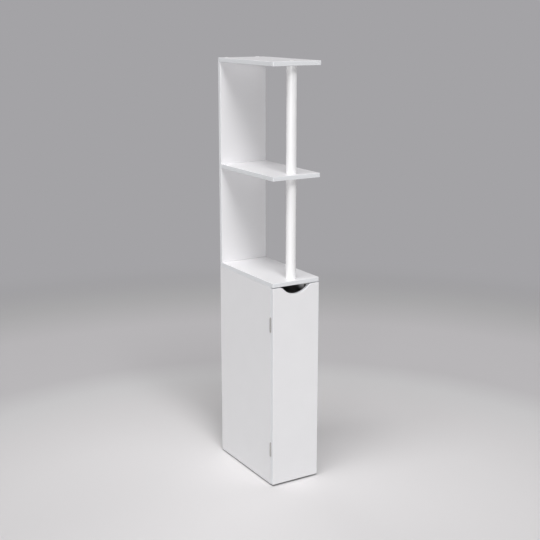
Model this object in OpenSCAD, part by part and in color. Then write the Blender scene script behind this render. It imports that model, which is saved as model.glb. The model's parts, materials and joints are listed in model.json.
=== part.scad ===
// Slim bathroom cabinet for toilet rolls: a closed cupboard with one door, two open bays
// above it, a full-width panel behind the bays and a round post near their front edge.
// Millimetres. X is the width, Y runs from front to rear, Z is up from the floor.

/* [Overall] */
// Width over the boards
unit_w = 150; // [144:1:260]
// Depth over the door and the boards
unit_d = 300; // [280:1:420]
// Height to the top board's upper face
unit_h = 1190; // [1050:1:1500]
// Height of the cupboard, to its top's upper face
cupboard_h = 598; // [520:1:660]
// Height of the middle shelf's upper face
shelf_h = 890; // [800:1:960]

/* [Boards] */
// Thickness of the shelves, sides and panels
board_t = 12; // [12:0.5:18]
// Thickness of the thin back behind the cupboard
thin_back_t = 3; // [2.5:0.5:5]
// Distance from the rear edges to the thin back
thin_back_inset = 14; // [12:0.5:30]
// Depth of the grooves that hold the thin back
groove_depth = 5; // [3:0.5:6]
// Height of the inner shelf's upper face above the floor
inner_shelf_h = 300; // [150:1:360]
// Distance from the cupboard's front edges to the inner shelf
inner_shelf_setback = 20; // [12:1:60]
// Gap beside and behind the inner shelf
inner_shelf_gap = 0.8; // [0.4:0.1:2]

/* [Door] */
// Thickness of the door
door_t = 12; // [12:0.5:18]
// Seam between the door's back and the sides' front edges
door_seam = 0.5; // [0.4:0.1:1]
// Gap between the door and the cupboard's top
door_top_gap = 2.5; // [2:0.5:6]
// Height of the door's lower edge above the floor
door_floor_gap = 5.5; // [3:0.5:12]
// Radius of the finger cut-out's main arc
grip_r = 55; // [40:1:58]
// Depth of the finger cut-out
grip_depth = 23.5; // [14:0.5:30]
// Radius that leads the cut-out into the door's top edge
grip_corner_r = 14; // [4:1:16]

/* [Hinges] */
// Length of a hinge's barrel without the pin's heads
hinge_l = 40; // [36:1:60]
// Distance from a door end to the centre of its hinge
hinge_inset = 105; // [60:1:140]
// Number of knuckles on a hinge
knuckle_count = 5; // [3:2:7]
// Outer diameter of a knuckle
knuckle_d = 5; // [4.4:0.1:6]
// Diameter of a hinge's pin
hinge_pin_d = 3; // [2:0.1:3.4]
// Diameter of the pin's riveted heads
pin_head_d = 4.4; // [3.8:0.1:4.4]
// Thickness of the pin's riveted heads
pin_head_h = 0.7; // [0.4:0.1:1]
// Reach of a leaf from the hinge's axis
leaf_reach = 11; // [10:0.5:11.5]
// Thickness of a leaf
leaf_t = 1; // [0.8:0.1:1.3]
// Gap between the leaves of a closed hinge
leaf_gap = 0.3; // [0.2:0.05:0.4]
// Distance that the hinge's axis stands out from the side's face
axis_out = 0.4; // [0.3:0.1:1.2]
// Distance from a hinge's end to its nearer screw
leaf_screw_inset = 8; // [6:0.5:12]

/* [Posts] */
// Diameter of the round posts
post_d = 28; // [20:1:40]
// Distance from the boards' front edge to the posts
post_setback = 15; // [8:1:40]
// Diameter of the stud that joins the posts
stud_d = 6; // [5:0.5:10]
// Depth of the stud in each post
stud_depth = 16; // [10:1:25]

/* [Catch] */
// Height of the catch's centre above the floor
catch_h = 430; // [400:1:450]
// Length of the catch with its ears
catch_l = 46; // [44:1:60]
// Length of the catch's raised body
catch_body_l = 30; // [28:1:31]
// Distance that the catch stands out from the side
catch_w = 14; // [12:0.5:18]
// Depth of the catch from front to rear
catch_depth = 12; // [11:0.5:16]
// Thickness of the catch's ears
catch_ear_t = 2.5; // [2:0.1:3]
// Length of the magnet
magnet_l = 24; // [16:1:25]
// Thickness of the magnet between its plates
magnet_t = 5; // [3:0.5:5.5]
// Depth of the magnet from front to rear
magnet_depth = 9; // [6:0.5:10]
// Distance from the catch's front to its magnet
magnet_recess = 0.8; // [0.3:0.1:1.5]
// Thickness of a pole plate
pole_t = 1.2; // [0.8:0.1:1.5]
// Distance that the pole plates stand out of the catch
pole_out = 0.6; // [0.3:0.1:1]
// Length of the strike plate
strike_l = 40; // [36:1:46]
// Width of the strike plate
strike_w = 12; // [9:0.5:12]
// Thickness of the strike plate
strike_t = 1.2; // [1:0.1:1.5]
// Distance from a strike plate's end to its screw
strike_screw_inset = 4.5; // [3:0.5:5]
// Air between the strike plate and the poles
strike_air = 0.2; // [0.1:0.1:0.5]

/* [Glides] */
// Diameter of a floor glide
glide_d = 18; // [12:1:24]
// Thickness of a floor glide
glide_h = 4; // [2:0.5:6]
// Distance from the bottom's edges to a glide's centre
glide_inset = 15; // [13:0.5:20]
// Diameter of a glide's nail
nail_d = 1.8; // [1.4:0.1:2.4]
// Length of a glide's nail below its head
nail_l = 7; // [5:0.5:8]
// Diameter of a nail's head
nail_head_d = 4.6; // [4:0.1:6]
// Thickness of a nail's head
nail_head_h = 0.8; // [0.5:0.1:1.2]

/* [Joints between boards] */
// Diameter of a wooden dowel
dowel_d = 6; // [5:0.5:8]
// Length of a wooden dowel
dowel_l = 25; // [20:1:30]
// Depth of a dowel in a board's face
dowel_face_depth = 8.5; // [6:0.5:9]
// Diameter of a cam lock
cam_d = 12; // [10:0.5:14]
// Depth of a cam lock in its board
cam_depth = 9.5; // [9.5:0.1:10]
// Distance from a cam's axis to the board that it pulls on
cam_reach = 24; // [20:1:32]
// Diameter of a cam bolt's thread
bolt_thread_d = 5; // [4:0.5:6]
// Length of a cam bolt's thread
bolt_thread_l = 8; // [6:0.5:9]
// Diameter of a cam bolt's neck
bolt_neck_d = 3.6; // [3:0.1:4]
// Diameter of a cam bolt's head
bolt_head_d = 5; // [4.6:0.1:5.2]
// Length of a cam bolt's head
bolt_head_l = 3.2; // [2:0.1:4]
// Length of a cam bolt's collar
bolt_collar_l = 2; // [1:0.5:4]
// Distance from a side's front and rear edges to its cams
cam_inset = 40; // [25:1:60]
// Step from a cam to its dowel
dowel_step = 30; // [20:1:50]
// Distance from a panel's side edges to its screws
panel_screw_inset = 25; // [20:1:40]
// Distance from a panel's side edges to its dowels
panel_dowel_inset = 50; // [48:1:60]

/* [Screws] */
// Diameter of the long screws
screw_d = 4; // [3:0.5:5]
// Length of the long screws
screw_l = 40; // [30:1:50]
// Diameter of the long screws' heads
screw_head_d = 7.6; // [6:0.2:8]
// Diameter of the hinge and strike screws
small_screw_d = 2.4; // [2:0.1:3]
// Length of the hinge and strike screws
small_screw_l = 10; // [7:0.5:11]
// Diameter of the hinge and strike screws' heads
small_head_d = 4.2; // [3.6:0.1:4.6]
// Diameter of the catch screws
catch_screw_d = 3; // [2.5:0.1:3.5]
// Length of the catch screws below the head
catch_screw_l = 11; // [8:0.5:12]
// Diameter of the catch screws' heads
catch_head_d = 5.4; // [4.6:0.1:6]
// Height of the catch screws' heads
catch_head_h = 1.8; // [1:0.1:2.4]
// Diameter of a stick-on screw cover
cover_d = 11; // [9:0.5:12]
// Thickness of a stick-on screw cover
cover_t = 0.4; // [0.2:0.1:1]

/* [Shelf supports] */
// Diameter of a shelf support's peg
peg_d = 5; // [4:0.5:6]
// Depth of a shelf support's peg in the side
peg_l = 8; // [6:0.5:9]
// Width of a shelf support
support_w = 9; // [7:0.5:14]
// Height of a shelf support
support_h = 12; // [10:0.5:18]
// Reach of a shelf support under the shelf
support_reach = 10; // [6:0.5:14]
// Thickness of a shelf support's plates
support_t = 1.5; // [1:0.1:2.5]
// Distance from the inner shelf's front and rear edges to its supports
support_inset = 30; // [15:1:60]
// Step between the rows of peg holes
peg_step = 32; // [20:1:50]

/* [Fits] */
// Radial clearance of screws, dowels, cams and pegs in their holes
hole_fit = 0.05; // [0.02:0.01:0.1]
// Radial clearance of a cam bolt in its bore and its cam
bolt_fit = 0.25; // [0.1:0.05:0.4]
// Radial running clearance of a hinge's pin
pin_fit = 0.05; // [0.02:0.01:0.08]
// Gap between moving hinge faces
hinge_gap = 0.2; // [0.1:0.05:0.3]
// Clearance at the end of a blind hole
end_gap = 0.5; // [0.2:0.1:1]
// Clearance around the thin back in its grooves
groove_fit = 0.1; // [0.05:0.05:0.3]

/* [Hidden] */
$fn = 48;
eps = 0.01;

// shares of a screw head that its cross recess takes in width and in depth
recess_span = 0.55;
recess_depth = 0.7;
// share of a raised head's diameter that its flat end keeps
head_face = 0.8;

// directions that turn +Z
UP = [0, 0, 0];
DOWN = [180, 0, 0];
REARWARD = [-90, 0, 0];
FORWARD = [90, 0, 0];
RIGHTWARD = [0, 90, 0];
LEFTWARD = [0, -90, 0];

// board planes
half_w = unit_w / 2;
front_y = -unit_d / 2;
rear_y = unit_d / 2;
inner_x = half_w - board_t;
door_back_y = front_y + door_t;
side_front_y = door_back_y + door_seam;
side_bottom_z = glide_h;
bottom_top_z = side_bottom_z + board_t;
cupboard_top_z = cupboard_h - board_t;
shelf_under_z = shelf_h - board_t;
top_under_z = unit_h - board_t;
panel_front_y = rear_y - board_t;
panel_mid_y = rear_y - board_t / 2;
thin_back_y = rear_y - thin_back_inset - thin_back_t;
inner_shelf_under_z = inner_shelf_h - board_t;
inner_shelf_front_y = side_front_y + inner_shelf_setback;
inner_shelf_rear_y = thin_back_y - inner_shelf_gap;

// door
door_top_z = cupboard_top_z - door_top_gap;

// hinges
axis_x = -half_w - axis_out;
axis_y = door_back_y + door_seam / 2;
upper_hinge_z = door_top_z - hinge_inset;
lower_hinge_z = door_floor_gap + hinge_inset;
knuckle_h = hinge_l / knuckle_count;
leaf_screw_x = -half_w + board_t / 2;
leaf_screw_z = hinge_l / 2 - leaf_screw_inset;
housing_half_h = hinge_l / 2 + pin_head_h + 2 * hinge_gap;

// posts
post_y = front_y + post_setback + post_d / 2;

// catch
catch_x = inner_x - catch_w / 2;
catch_front_y = door_back_y + strike_t + strike_air + pole_out;
catch_mid_y = catch_front_y + catch_depth / 2;
catch_screw_z = (catch_l + catch_body_l) / 4;
catch_slot_l = 2 * catch_screw_d;
strike_screw_z = strike_l / 2 - strike_screw_inset;

// places of the joints between boards
side_cam_ys = [side_front_y + cam_inset, rear_y - cam_inset];
side_dowel_ys = [side_cam_ys[0] + dowel_step, side_cam_ys[1] - dowel_step];
side_mid_x = half_w - board_t / 2;
bottom_mid_z = side_bottom_z + board_t / 2;
shelf_mid_z = shelf_h - board_t / 2;
panel_screw_x = half_w - panel_screw_inset;
panel_dowel_x = half_w - panel_dowel_inset;
glide_x = inner_x - glide_inset;
glide_ys = [side_front_y + glide_inset, rear_y - glide_inset];
nail_seat = glide_h / 2;
support_ys = [inner_shelf_front_y + support_inset, inner_shelf_rear_y - support_inset];
peg_z = inner_shelf_under_z - support_h / 2;

white = [0.93, 0.93, 0.94];
white_plastic = [0.88, 0.88, 0.87];
steel = [0.66, 0.66, 0.66];
zinc = [0.72, 0.73, 0.75];
beech = [0.80, 0.66, 0.47];
hardboard = [0.90, 0.90, 0.90];
magnet_grey = [0.16, 0.16, 0.17];

// ---- general shapes ----

// A box between two opposite corners
module block(low, high) {
    translate(low)
        cube(high - low);
}

// A round rod or hole that starts at p and runs in one of the directions above
module rod(p, direction, d, l) {
    translate(p)
        rotate(direction)
            cylinder(d = d, h = l);
}

// A blind hole, begun just outside the board's face
module hole(p, direction, d, depth) {
    translate(p)
        rotate(direction)
            translate([0, 0, -eps])
                cylinder(d = d + 2 * hole_fit, h = depth + end_gap + eps);
}

// A shank with a blunt point, from the origin along +Z
module pointed_shank(d, l) {
    tip_h = d;
    tip_d = d / 4;
    cylinder(d = d, h = l - tip_h);
    translate([0, 0, l - tip_h])
        cylinder(d1 = d, d2 = tip_d, h = tip_h);
}

// A cross recess for a screwdriver, from the origin along +Z
module cross_recess(span, depth) {
    slot = span / 4;
    for (turn = [0, 90])
        rotate(turn)
            block([-span / 2, -slot / 2, -eps], [span / 2, slot / 2, depth]);
}

// A countersunk screw, its head's face at the origin and its tip along +Z
module countersunk_screw(d, l, head_d) {
    head_h = (head_d - d) / 2;
    difference() {
        union() {
            cylinder(d1 = head_d, d2 = d, h = head_h);
            pointed_shank(d, l);
        }
        cross_recess(head_d * recess_span, head_h * recess_depth);
    }
}

// The seat and the hole that a countersunk screw fills
module countersunk_hole(d, l, head_d) {
    head_h = (head_d - d) / 2;
    translate([0, 0, -eps])
        cylinder(d = d + 2 * hole_fit, h = l + end_gap + eps);
    translate([0, 0, -eps])
        cylinder(d = head_d + 2 * hole_fit, h = 2 * eps);
    cylinder(d1 = head_d + 2 * hole_fit, d2 = d + 2 * hole_fit, h = head_h);
}

// A dowel with chamfered ends, from the origin along +Z
module dowel() {
    chamfer = dowel_d / 8;
    rotate_extrude()
        polygon([
            [0, 0],
            [dowel_d / 2 - chamfer, 0],
            [dowel_d / 2, chamfer],
            [dowel_d / 2, dowel_l - chamfer],
            [dowel_d / 2 - chamfer, dowel_l],
            [0, dowel_l]
        ]);
}

// ---- joints between boards: the same places serve the fittings and their holes ----

// Each child is placed on a seam of a side, +Z pointing from the face board into the edge board
module at_side_seams(ys) {
    for (sx = [-1, 1], y = ys) {
        translate([sx * side_mid_x, y, cupboard_top_z])
            rotate(DOWN)
                children();
        translate([sx * inner_x, y, bottom_mid_z])
            rotate(sx < 0 ? RIGHTWARD : LEFTWARD)
                children();
    }
}

// Each child is placed on a seam of the back panel, +Z pointing into the edge board
module at_panel_seams(x) {
    for (sx = [-1, 1]) {
        translate([sx * x, panel_mid_y, cupboard_h])
            children();
        translate([sx * x, panel_mid_y, top_under_z])
            rotate(DOWN)
                children();
        translate([sx * x, panel_front_y, shelf_mid_z])
            rotate(FORWARD)
                children();
    }
}

module dowel_hole() {
    translate([0, 0, -dowel_face_depth - end_gap])
        cylinder(d = dowel_d + 2 * hole_fit, h = dowel_l + 2 * end_gap);
}

module cam_bolt_hole() {
    translate([0, 0, -bolt_thread_l - end_gap])
        cylinder(d = bolt_thread_d + 2 * hole_fit, h = bolt_thread_l + end_gap + eps);
    cylinder(d = bolt_head_d + 2 * bolt_fit, h = cam_reach);
}

// A cam's bores, from the inner faces of the sides and from the bottom's lower face
module at_cams() {
    for (sx = [-1, 1], y = side_cam_ys) {
        translate([sx * inner_x, y, cupboard_top_z - cam_reach])
            rotate(sx < 0 ? LEFTWARD : RIGHTWARD)
                rotate(sx < 0 ? 0 : 180)
                    children();
        translate([sx * (inner_x - cam_reach), y, side_bottom_z])
            rotate(sx < 0 ? 180 : 0)
                children();
    }
}

module cam_hole() {
    hole([0, 0, 0], UP, cam_d, cam_depth - end_gap);
}

module side_joint_holes() {
    at_side_seams(side_dowel_ys)
        dowel_hole();
    at_side_seams(side_cam_ys)
        cam_bolt_hole();
    at_cams()
        cam_hole();
}

module panel_joint_holes() {
    at_panel_seams(panel_dowel_x)
        dowel_hole();
    at_top_screws()
        countersunk_hole(screw_d, screw_l, screw_head_d);
    at_panel_base_screws()
        countersunk_hole(screw_d, screw_l, screw_head_d);
    at_middle_shelf_screws()
        countersunk_hole(screw_d, screw_l, screw_head_d);
}

module at_top_screws() {
    for (p = [[-panel_screw_x, panel_mid_y], [panel_screw_x, panel_mid_y], [0, post_y]])
        translate([p[0], p[1], unit_h])
            rotate(DOWN)
                children();
}

module at_panel_base_screws() {
    for (sx = [-1, 1])
        translate([sx * panel_screw_x, panel_mid_y, cupboard_top_z])
            children();
}

module at_middle_shelf_screws() {
    for (sx = [-1, 1])
        translate([sx * panel_screw_x, rear_y, shelf_mid_z])
            rotate(FORWARD)
                children();
}

module at_post_base_screw() {
    translate([0, post_y, cupboard_top_z])
        children();
}

module post_holes() {
    at_top_screws()
        countersunk_hole(screw_d, screw_l, screw_head_d);
    at_post_base_screw()
        countersunk_hole(screw_d, screw_l, screw_head_d);
    translate([0, post_y, shelf_under_z - stud_depth - end_gap])
        cylinder(d = stud_d + 2 * hole_fit, h = board_t + 2 * (stud_depth + end_gap));
}

// The grooves that the thin back stands in
module thin_back_space(fit) {
    reach_x = inner_x + groove_depth;
    block(
        [-reach_x - fit, thin_back_y - fit, bottom_top_z - groove_depth - fit],
        [reach_x + fit, thin_back_y + thin_back_t + fit, cupboard_top_z + groove_depth + fit]
    );
}

// ---- boards ----

module top_board() {
    color(white)
        difference() {
            block([-half_w, front_y, top_under_z], [half_w, rear_y, unit_h]);
            panel_joint_holes();
            post_holes();
        }
}

module back_panel() {
    color(white)
        difference() {
            block([-half_w, panel_front_y, cupboard_h], [half_w, rear_y, top_under_z]);
            panel_joint_holes();
        }
}

module middle_shelf() {
    color(white)
        difference() {
            block([-half_w, front_y, shelf_under_z], [half_w, panel_front_y, shelf_h]);
            panel_joint_holes();
            post_holes();
        }
}

module post(low, high) {
    color(white)
        difference() {
            rod([0, post_y, low], UP, post_d, high - low);
            post_holes();
        }
}

module upper_post() {
    post(shelf_h, top_under_z);
}

module lower_post() {
    post(cupboard_h, shelf_under_z);
}

module cabinet_top() {
    color(white)
        difference() {
            block([-half_w, front_y, cupboard_top_z], [half_w, rear_y, cupboard_h]);
            side_joint_holes();
            panel_joint_holes();
            post_holes();
            thin_back_space(groove_fit);
        }
}

module side(sx) {
    xs = sx < 0 ? [-half_w, -inner_x] : [inner_x, half_w];
    color(white)
        difference() {
            block([xs[0], side_front_y, side_bottom_z], [xs[1], rear_y, cupboard_top_z]);
            side_joint_holes();
            thin_back_space(groove_fit);
            peg_holes();
            at_catch_screws()
                hole([0, 0, 0], RIGHTWARD, catch_screw_d, catch_screw_l - catch_ear_t);
            hinge_housings();
            at_cabinet_leaf_screws()
                countersunk_hole(small_screw_d, small_screw_l, small_head_d);
        }
}

module left_side() {
    side(-1);
}

module right_side() {
    side(1);
}

module cabinet_bottom() {
    color(white)
        difference() {
            block([-inner_x, side_front_y, side_bottom_z], [inner_x, rear_y, bottom_top_z]);
            side_joint_holes();
            thin_back_space(groove_fit);
            at_glides()
                cylinder(d = nail_d + 2 * hole_fit, h = nail_seat + nail_l + end_gap);
        }
}

module cabinet_back() {
    color(hardboard)
        thin_back_space(0);
}

module inner_shelf() {
    x = inner_x - inner_shelf_gap;
    color(white)
        block(
            [-x, inner_shelf_front_y, inner_shelf_under_z],
            [x, inner_shelf_rear_y, inner_shelf_h]
        );
}

// ---- shelf supports ----

// Rows of peg holes: the shelf's own row and one above and below it
module peg_holes() {
    for (sx = [-1, 1], y = support_ys, row = [-1, 0, 1]) {
        outward = sx < 0 ? LEFTWARD : RIGHTWARD;
        hole([sx * inner_x, y, peg_z + row * peg_step], outward, peg_d, peg_l);
    }
}

// One support on the left side, its upper face at the origin's height
module shelf_support() {
    rib_x = support_reach - support_t / 2;
    rib_z = support_h - support_t / 2;
    rod([0, 0, -support_h / 2], LEFTWARD, peg_d, peg_l);
    block([0, -support_w / 2, -support_h], [support_t, support_w / 2, 0]);
    block([0, -support_w / 2, -support_t], [support_reach, support_w / 2, 0]);
    rotate(FORWARD)
        translate([0, 0, -support_t / 2])
            linear_extrude(support_t)
                polygon([[0, 0], [rib_x, 0], [0, -rib_z]]);
}

module shelf_supports() {
    color(zinc)
        for (sx = [-1, 1], y = support_ys)
            translate([sx * inner_x, y, inner_shelf_under_z])
                rotate(sx < 0 ? 0 : 180)
                    shelf_support();
}

// ---- door ----

// The cut-out's outline, its origin on the middle of the door's top edge. It runs on past
// that edge by a margin, so that it cuts the edge open.
module grip_outline() {
    arc_z = grip_r - grip_depth;
    corner_x = sqrt(pow(grip_r + grip_corner_r, 2) - pow(arc_z + grip_corner_r, 2));
    meet = grip_r / (grip_r + grip_corner_r);
    meet_x = corner_x * meet;
    meet_z = arc_z - (arc_z + grip_corner_r) * meet;
    margin = 1;
    intersection() {
        translate([0, arc_z])
            circle(r = grip_r, $fn = 96);
        translate([-grip_r, -grip_depth - margin])
            square([2 * grip_r, grip_depth + 2 * margin]);
    }
    for (s = [-1, 1])
        scale([s, 1])
            difference() {
                polygon([
                    [0, margin],
                    [corner_x, margin],
                    [corner_x, 0],
                    [meet_x, meet_z],
                    [0, meet_z]
                ]);
                translate([corner_x, -grip_corner_r])
                    circle(r = grip_corner_r);
            }
}

module door() {
    color(white)
        difference() {
            block([-half_w, front_y, door_floor_gap], [half_w, door_back_y, door_top_z]);
            translate([0, door_back_y + eps, door_top_z])
                rotate([90, 0, 0])
                    linear_extrude(door_t + 2 * eps)
                        grip_outline();
            hinge_housings();
            at_door_leaf_screws()
                countersunk_hole(small_screw_d, small_screw_l, small_head_d);
            at_strike_screws()
                countersunk_hole(small_screw_d, small_screw_l, small_head_d);
        }
}

// ---- hinges ----

// Room for the barrels and the leaves, cut into the door and the left side
module hinge_housings() {
    depth = leaf_gap / 2 + leaf_t;
    for (z = [upper_hinge_z, lower_hinge_z]) {
        translate([axis_x, axis_y, z - housing_half_h])
            cylinder(d = knuckle_d + 4 * hinge_gap, h = 2 * housing_half_h);
        block(
            [-half_w - eps, axis_y - depth, z - housing_half_h],
            [axis_x + leaf_reach + hinge_gap, axis_y + depth, z + housing_half_h]
        );
    }
}

// Screws of the cabinet leaves point rearward, screws of the door leaves forward
module at_cabinet_leaf_screws() {
    for (z = [upper_hinge_z, lower_hinge_z], s = [-1, 1])
        translate([leaf_screw_x, axis_y + leaf_gap / 2, z + s * leaf_screw_z])
            rotate(REARWARD)
                children();
}

module at_door_leaf_screws() {
    for (z = [upper_hinge_z, lower_hinge_z], s = [-1, 1])
        translate([leaf_screw_x, axis_y - leaf_gap / 2, z + s * leaf_screw_z])
            rotate(FORWARD)
                children();
}

// A leaf around the hinge's axis: its plate lies on the side of Y that sy gives, and it has
// every second knuckle, from the first one given
module leaf(sy, first) {
    y0 = min(sy * leaf_gap / 2, sy * (leaf_gap / 2 + leaf_t));
    plate_x = knuckle_d / 2 + hinge_gap;
    difference() {
        union() {
            block([plate_x, y0, -hinge_l / 2], [leaf_reach, y0 + leaf_t, hinge_l / 2]);
            for (k = [first : 2 : knuckle_count - 1])
                translate([0, 0, k * knuckle_h - hinge_l / 2 + hinge_gap / 2]) {
                    cylinder(d = knuckle_d, h = knuckle_h - hinge_gap);
                    block([0, y0, 0], [plate_x + eps, y0 + leaf_t, knuckle_h - hinge_gap]);
                }
        }
        translate([0, 0, -hinge_l / 2 - eps])
            cylinder(d = hinge_pin_d + 2 * pin_fit, h = hinge_l + 2 * eps);
        for (s = [-1, 1])
            translate([leaf_screw_x - axis_x, sy * leaf_gap / 2, s * leaf_screw_z])
                rotate(sy > 0 ? REARWARD : FORWARD)
                    countersunk_hole(small_screw_d, small_screw_l, small_head_d);
    }
}

module cabinet_leaf(z) {
    color(steel)
        translate([axis_x, axis_y, z])
            leaf(1, 0);
}

module door_leaf(z) {
    color(steel)
        translate([axis_x, axis_y, z])
            leaf(-1, 1);
}

module hinge_pin(z) {
    color(steel)
        translate([axis_x, axis_y, z]) {
            translate([0, 0, -hinge_l / 2 - pin_head_h])
                cylinder(d = hinge_pin_d, h = hinge_l + 2 * pin_head_h);
            for (turn = [UP, DOWN])
                rotate(turn)
                    translate([0, 0, hinge_l / 2])
                        cylinder(d1 = pin_head_d, d2 = pin_head_d * head_face, h = pin_head_h);
        }
}

module upper_hinge_cabinet_leaf() {
    cabinet_leaf(upper_hinge_z);
}

module upper_hinge_door_leaf() {
    door_leaf(upper_hinge_z);
}

module upper_hinge_pin() {
    hinge_pin(upper_hinge_z);
}

module lower_hinge_cabinet_leaf() {
    cabinet_leaf(lower_hinge_z);
}

module lower_hinge_door_leaf() {
    door_leaf(lower_hinge_z);
}

module lower_hinge_pin() {
    hinge_pin(lower_hinge_z);
}

module hinge_cabinet_screws() {
    color(steel)
        at_cabinet_leaf_screws()
            countersunk_screw(small_screw_d, small_screw_l, small_head_d);
}

module hinge_door_screws() {
    color(steel)
        at_door_leaf_screws()
            countersunk_screw(small_screw_d, small_screw_l, small_head_d);
}

// ---- magnetic catch ----

// Screw places on the catch's ears, at the side's inner face
module at_catch_screws() {
    for (s = [-1, 1])
        translate([inner_x, catch_mid_y, catch_h + s * catch_screw_z])
            children();
}

module catch_housing() {
    pocket_x = magnet_t / 2 + pole_t + groove_fit;
    pocket_z = magnet_l / 2 + groove_fit;
    ear_z = catch_l / 2;
    body_z = catch_body_l / 2;
    rear = catch_front_y + catch_depth;
    pocket_rear = catch_front_y + magnet_recess + magnet_depth + groove_fit;
    color(white_plastic)
        difference() {
            union() {
                block(
                    [inner_x - catch_w, catch_front_y, catch_h - body_z],
                    [inner_x, rear, catch_h + body_z]
                );
                block(
                    [inner_x - catch_ear_t, catch_front_y, catch_h - ear_z],
                    [inner_x, rear, catch_h + ear_z]
                );
            }
            block(
                [catch_x - pocket_x, catch_front_y - eps, catch_h - pocket_z],
                [catch_x + pocket_x, pocket_rear, catch_h + pocket_z]
            );
            at_catch_screws() {
                slot_d = catch_screw_d + 2 * hole_fit;
                run = (catch_slot_l - catch_screw_d) / 2;
                for (s = [-1, 1])
                    translate([-catch_ear_t - eps, s * run, 0])
                        rotate(RIGHTWARD)
                            cylinder(d = slot_d, h = catch_ear_t + 2 * eps);
                block([-catch_ear_t - eps, -run, -slot_d / 2], [eps, run, slot_d / 2]);
            }
        }
}

module catch_magnet() {
    y0 = catch_front_y + magnet_recess;
    color(magnet_grey)
        block(
            [catch_x - magnet_t / 2, y0, catch_h - magnet_l / 2],
            [catch_x + magnet_t / 2, y0 + magnet_depth, catch_h + magnet_l / 2]
        );
}

module catch_pole_plates() {
    y1 = catch_front_y + magnet_recess + magnet_depth;
    color(steel)
        for (x = [catch_x - magnet_t / 2 - pole_t, catch_x + magnet_t / 2])
            block(
                [x, catch_front_y - pole_out, catch_h - magnet_l / 2],
                [x + pole_t, y1, catch_h + magnet_l / 2]
            );
}

// One catch screw, the underside of its head at the origin and its tip along +Z
module catch_screw() {
    difference() {
        union() {
            translate([0, 0, -catch_head_h])
                cylinder(d1 = catch_head_d * head_face, d2 = catch_head_d, h = catch_head_h);
            pointed_shank(catch_screw_d, catch_screw_l);
        }
        translate([0, 0, -catch_head_h])
            cross_recess(catch_head_d * recess_span, catch_head_h * recess_depth);
    }
}

module catch_screws() {
    color(steel)
        at_catch_screws()
            rotate(RIGHTWARD)
                translate([0, 0, -catch_ear_t])
                    catch_screw();
}

// Strike screws start on the strike plate's rear face and point forward into the door
module at_strike_screws() {
    for (s = [-1, 1])
        translate([catch_x, door_back_y + strike_t, catch_h + s * strike_screw_z])
            rotate(FORWARD)
                children();
}

module strike_plate() {
    color(steel)
        difference() {
            block(
                [catch_x - strike_w / 2, door_back_y, catch_h - strike_l / 2],
                [catch_x + strike_w / 2, door_back_y + strike_t, catch_h + strike_l / 2]
            );
            at_strike_screws()
                countersunk_hole(small_screw_d, small_screw_l, small_head_d);
        }
}

module strike_screws() {
    color(steel)
        at_strike_screws()
            countersunk_screw(small_screw_d, small_screw_l, small_head_d);
}

// ---- floor glides ----

module at_glides() {
    for (sx = [-1, 1], y = glide_ys)
        translate([sx * glide_x, y, 0])
            children();
}

module floor_glides() {
    edge = glide_h / 4;
    color(white_plastic)
        at_glides()
            difference() {
                rotate_extrude()
                    polygon([
                        [0, 0],
                        [glide_d / 2 - edge, 0],
                        [glide_d / 2, edge],
                        [glide_d / 2, glide_h],
                        [0, glide_h]
                    ]);
                translate([0, 0, -eps])
                    cylinder(d = nail_head_d + 2 * hole_fit, h = nail_seat + eps);
                cylinder(d = nail_d + 2 * hole_fit, h = glide_h + eps);
            }
}

module glide_nails() {
    color(steel)
        at_glides()
            translate([0, 0, nail_seat]) {
                translate([0, 0, -nail_head_h])
                    cylinder(d = nail_head_d, h = nail_head_h);
                pointed_shank(nail_d, nail_l);
            }
}

// ---- fittings between boards ----

// A cam around its own axis, the bolt arriving from +X at half the board's thickness
module cam_lock() {
    chamber_l = bolt_head_l + 2 * end_gap;
    difference() {
        cylinder(d = cam_d, h = cam_depth - end_gap / 2);
        translate([-chamber_l / 2, 0, board_t / 2])
            rotate(RIGHTWARD)
                cylinder(d = bolt_head_d + 2 * bolt_fit, h = chamber_l);
        translate([0, 0, board_t / 2])
            rotate(RIGHTWARD)
                cylinder(d = bolt_neck_d + 2 * bolt_fit, h = cam_d);
        cross_recess(cam_d / 2, cam_depth / 8);
    }
}

// A cam bolt, the seam at the origin, its thread below and its neck along +Z
module cam_bolt() {
    translate([0, 0, -bolt_thread_l])
        cylinder(d = bolt_thread_d, h = bolt_thread_l);
    cylinder(d = bolt_head_d, h = bolt_collar_l);
    cylinder(d = bolt_neck_d, h = cam_reach);
    translate([0, 0, cam_reach - bolt_head_l / 2])
        cylinder(d = bolt_head_d, h = bolt_head_l);
}

module cam_locks() {
    color(zinc)
        at_cams()
            cam_lock();
}

module cam_bolts() {
    color(steel)
        at_side_seams(side_cam_ys)
            cam_bolt();
}

module side_dowels() {
    color(beech)
        at_side_seams(side_dowel_ys)
            translate([0, 0, -dowel_face_depth])
                dowel();
}

module panel_dowels() {
    color(beech)
        at_panel_seams(panel_dowel_x)
            translate([0, 0, -dowel_face_depth])
                dowel();
}

module long_screw() {
    color(steel)
        countersunk_screw(screw_d, screw_l, screw_head_d);
}

module top_board_screws() {
    at_top_screws()
        long_screw();
}

module panel_base_screws() {
    at_panel_base_screws()
        long_screw();
}

module middle_shelf_screws() {
    at_middle_shelf_screws()
        long_screw();
}

module post_base_screw() {
    at_post_base_screw()
        long_screw();
}

module screw_covers() {
    color(white)
        at_top_screws()
            rotate(DOWN)
                cylinder(d = cover_d, h = cover_t);
}

module post_stud() {
    color(steel)
        rod([0, post_y, shelf_under_z - stud_depth], UP, stud_d, board_t + 2 * stud_depth);
}

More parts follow.
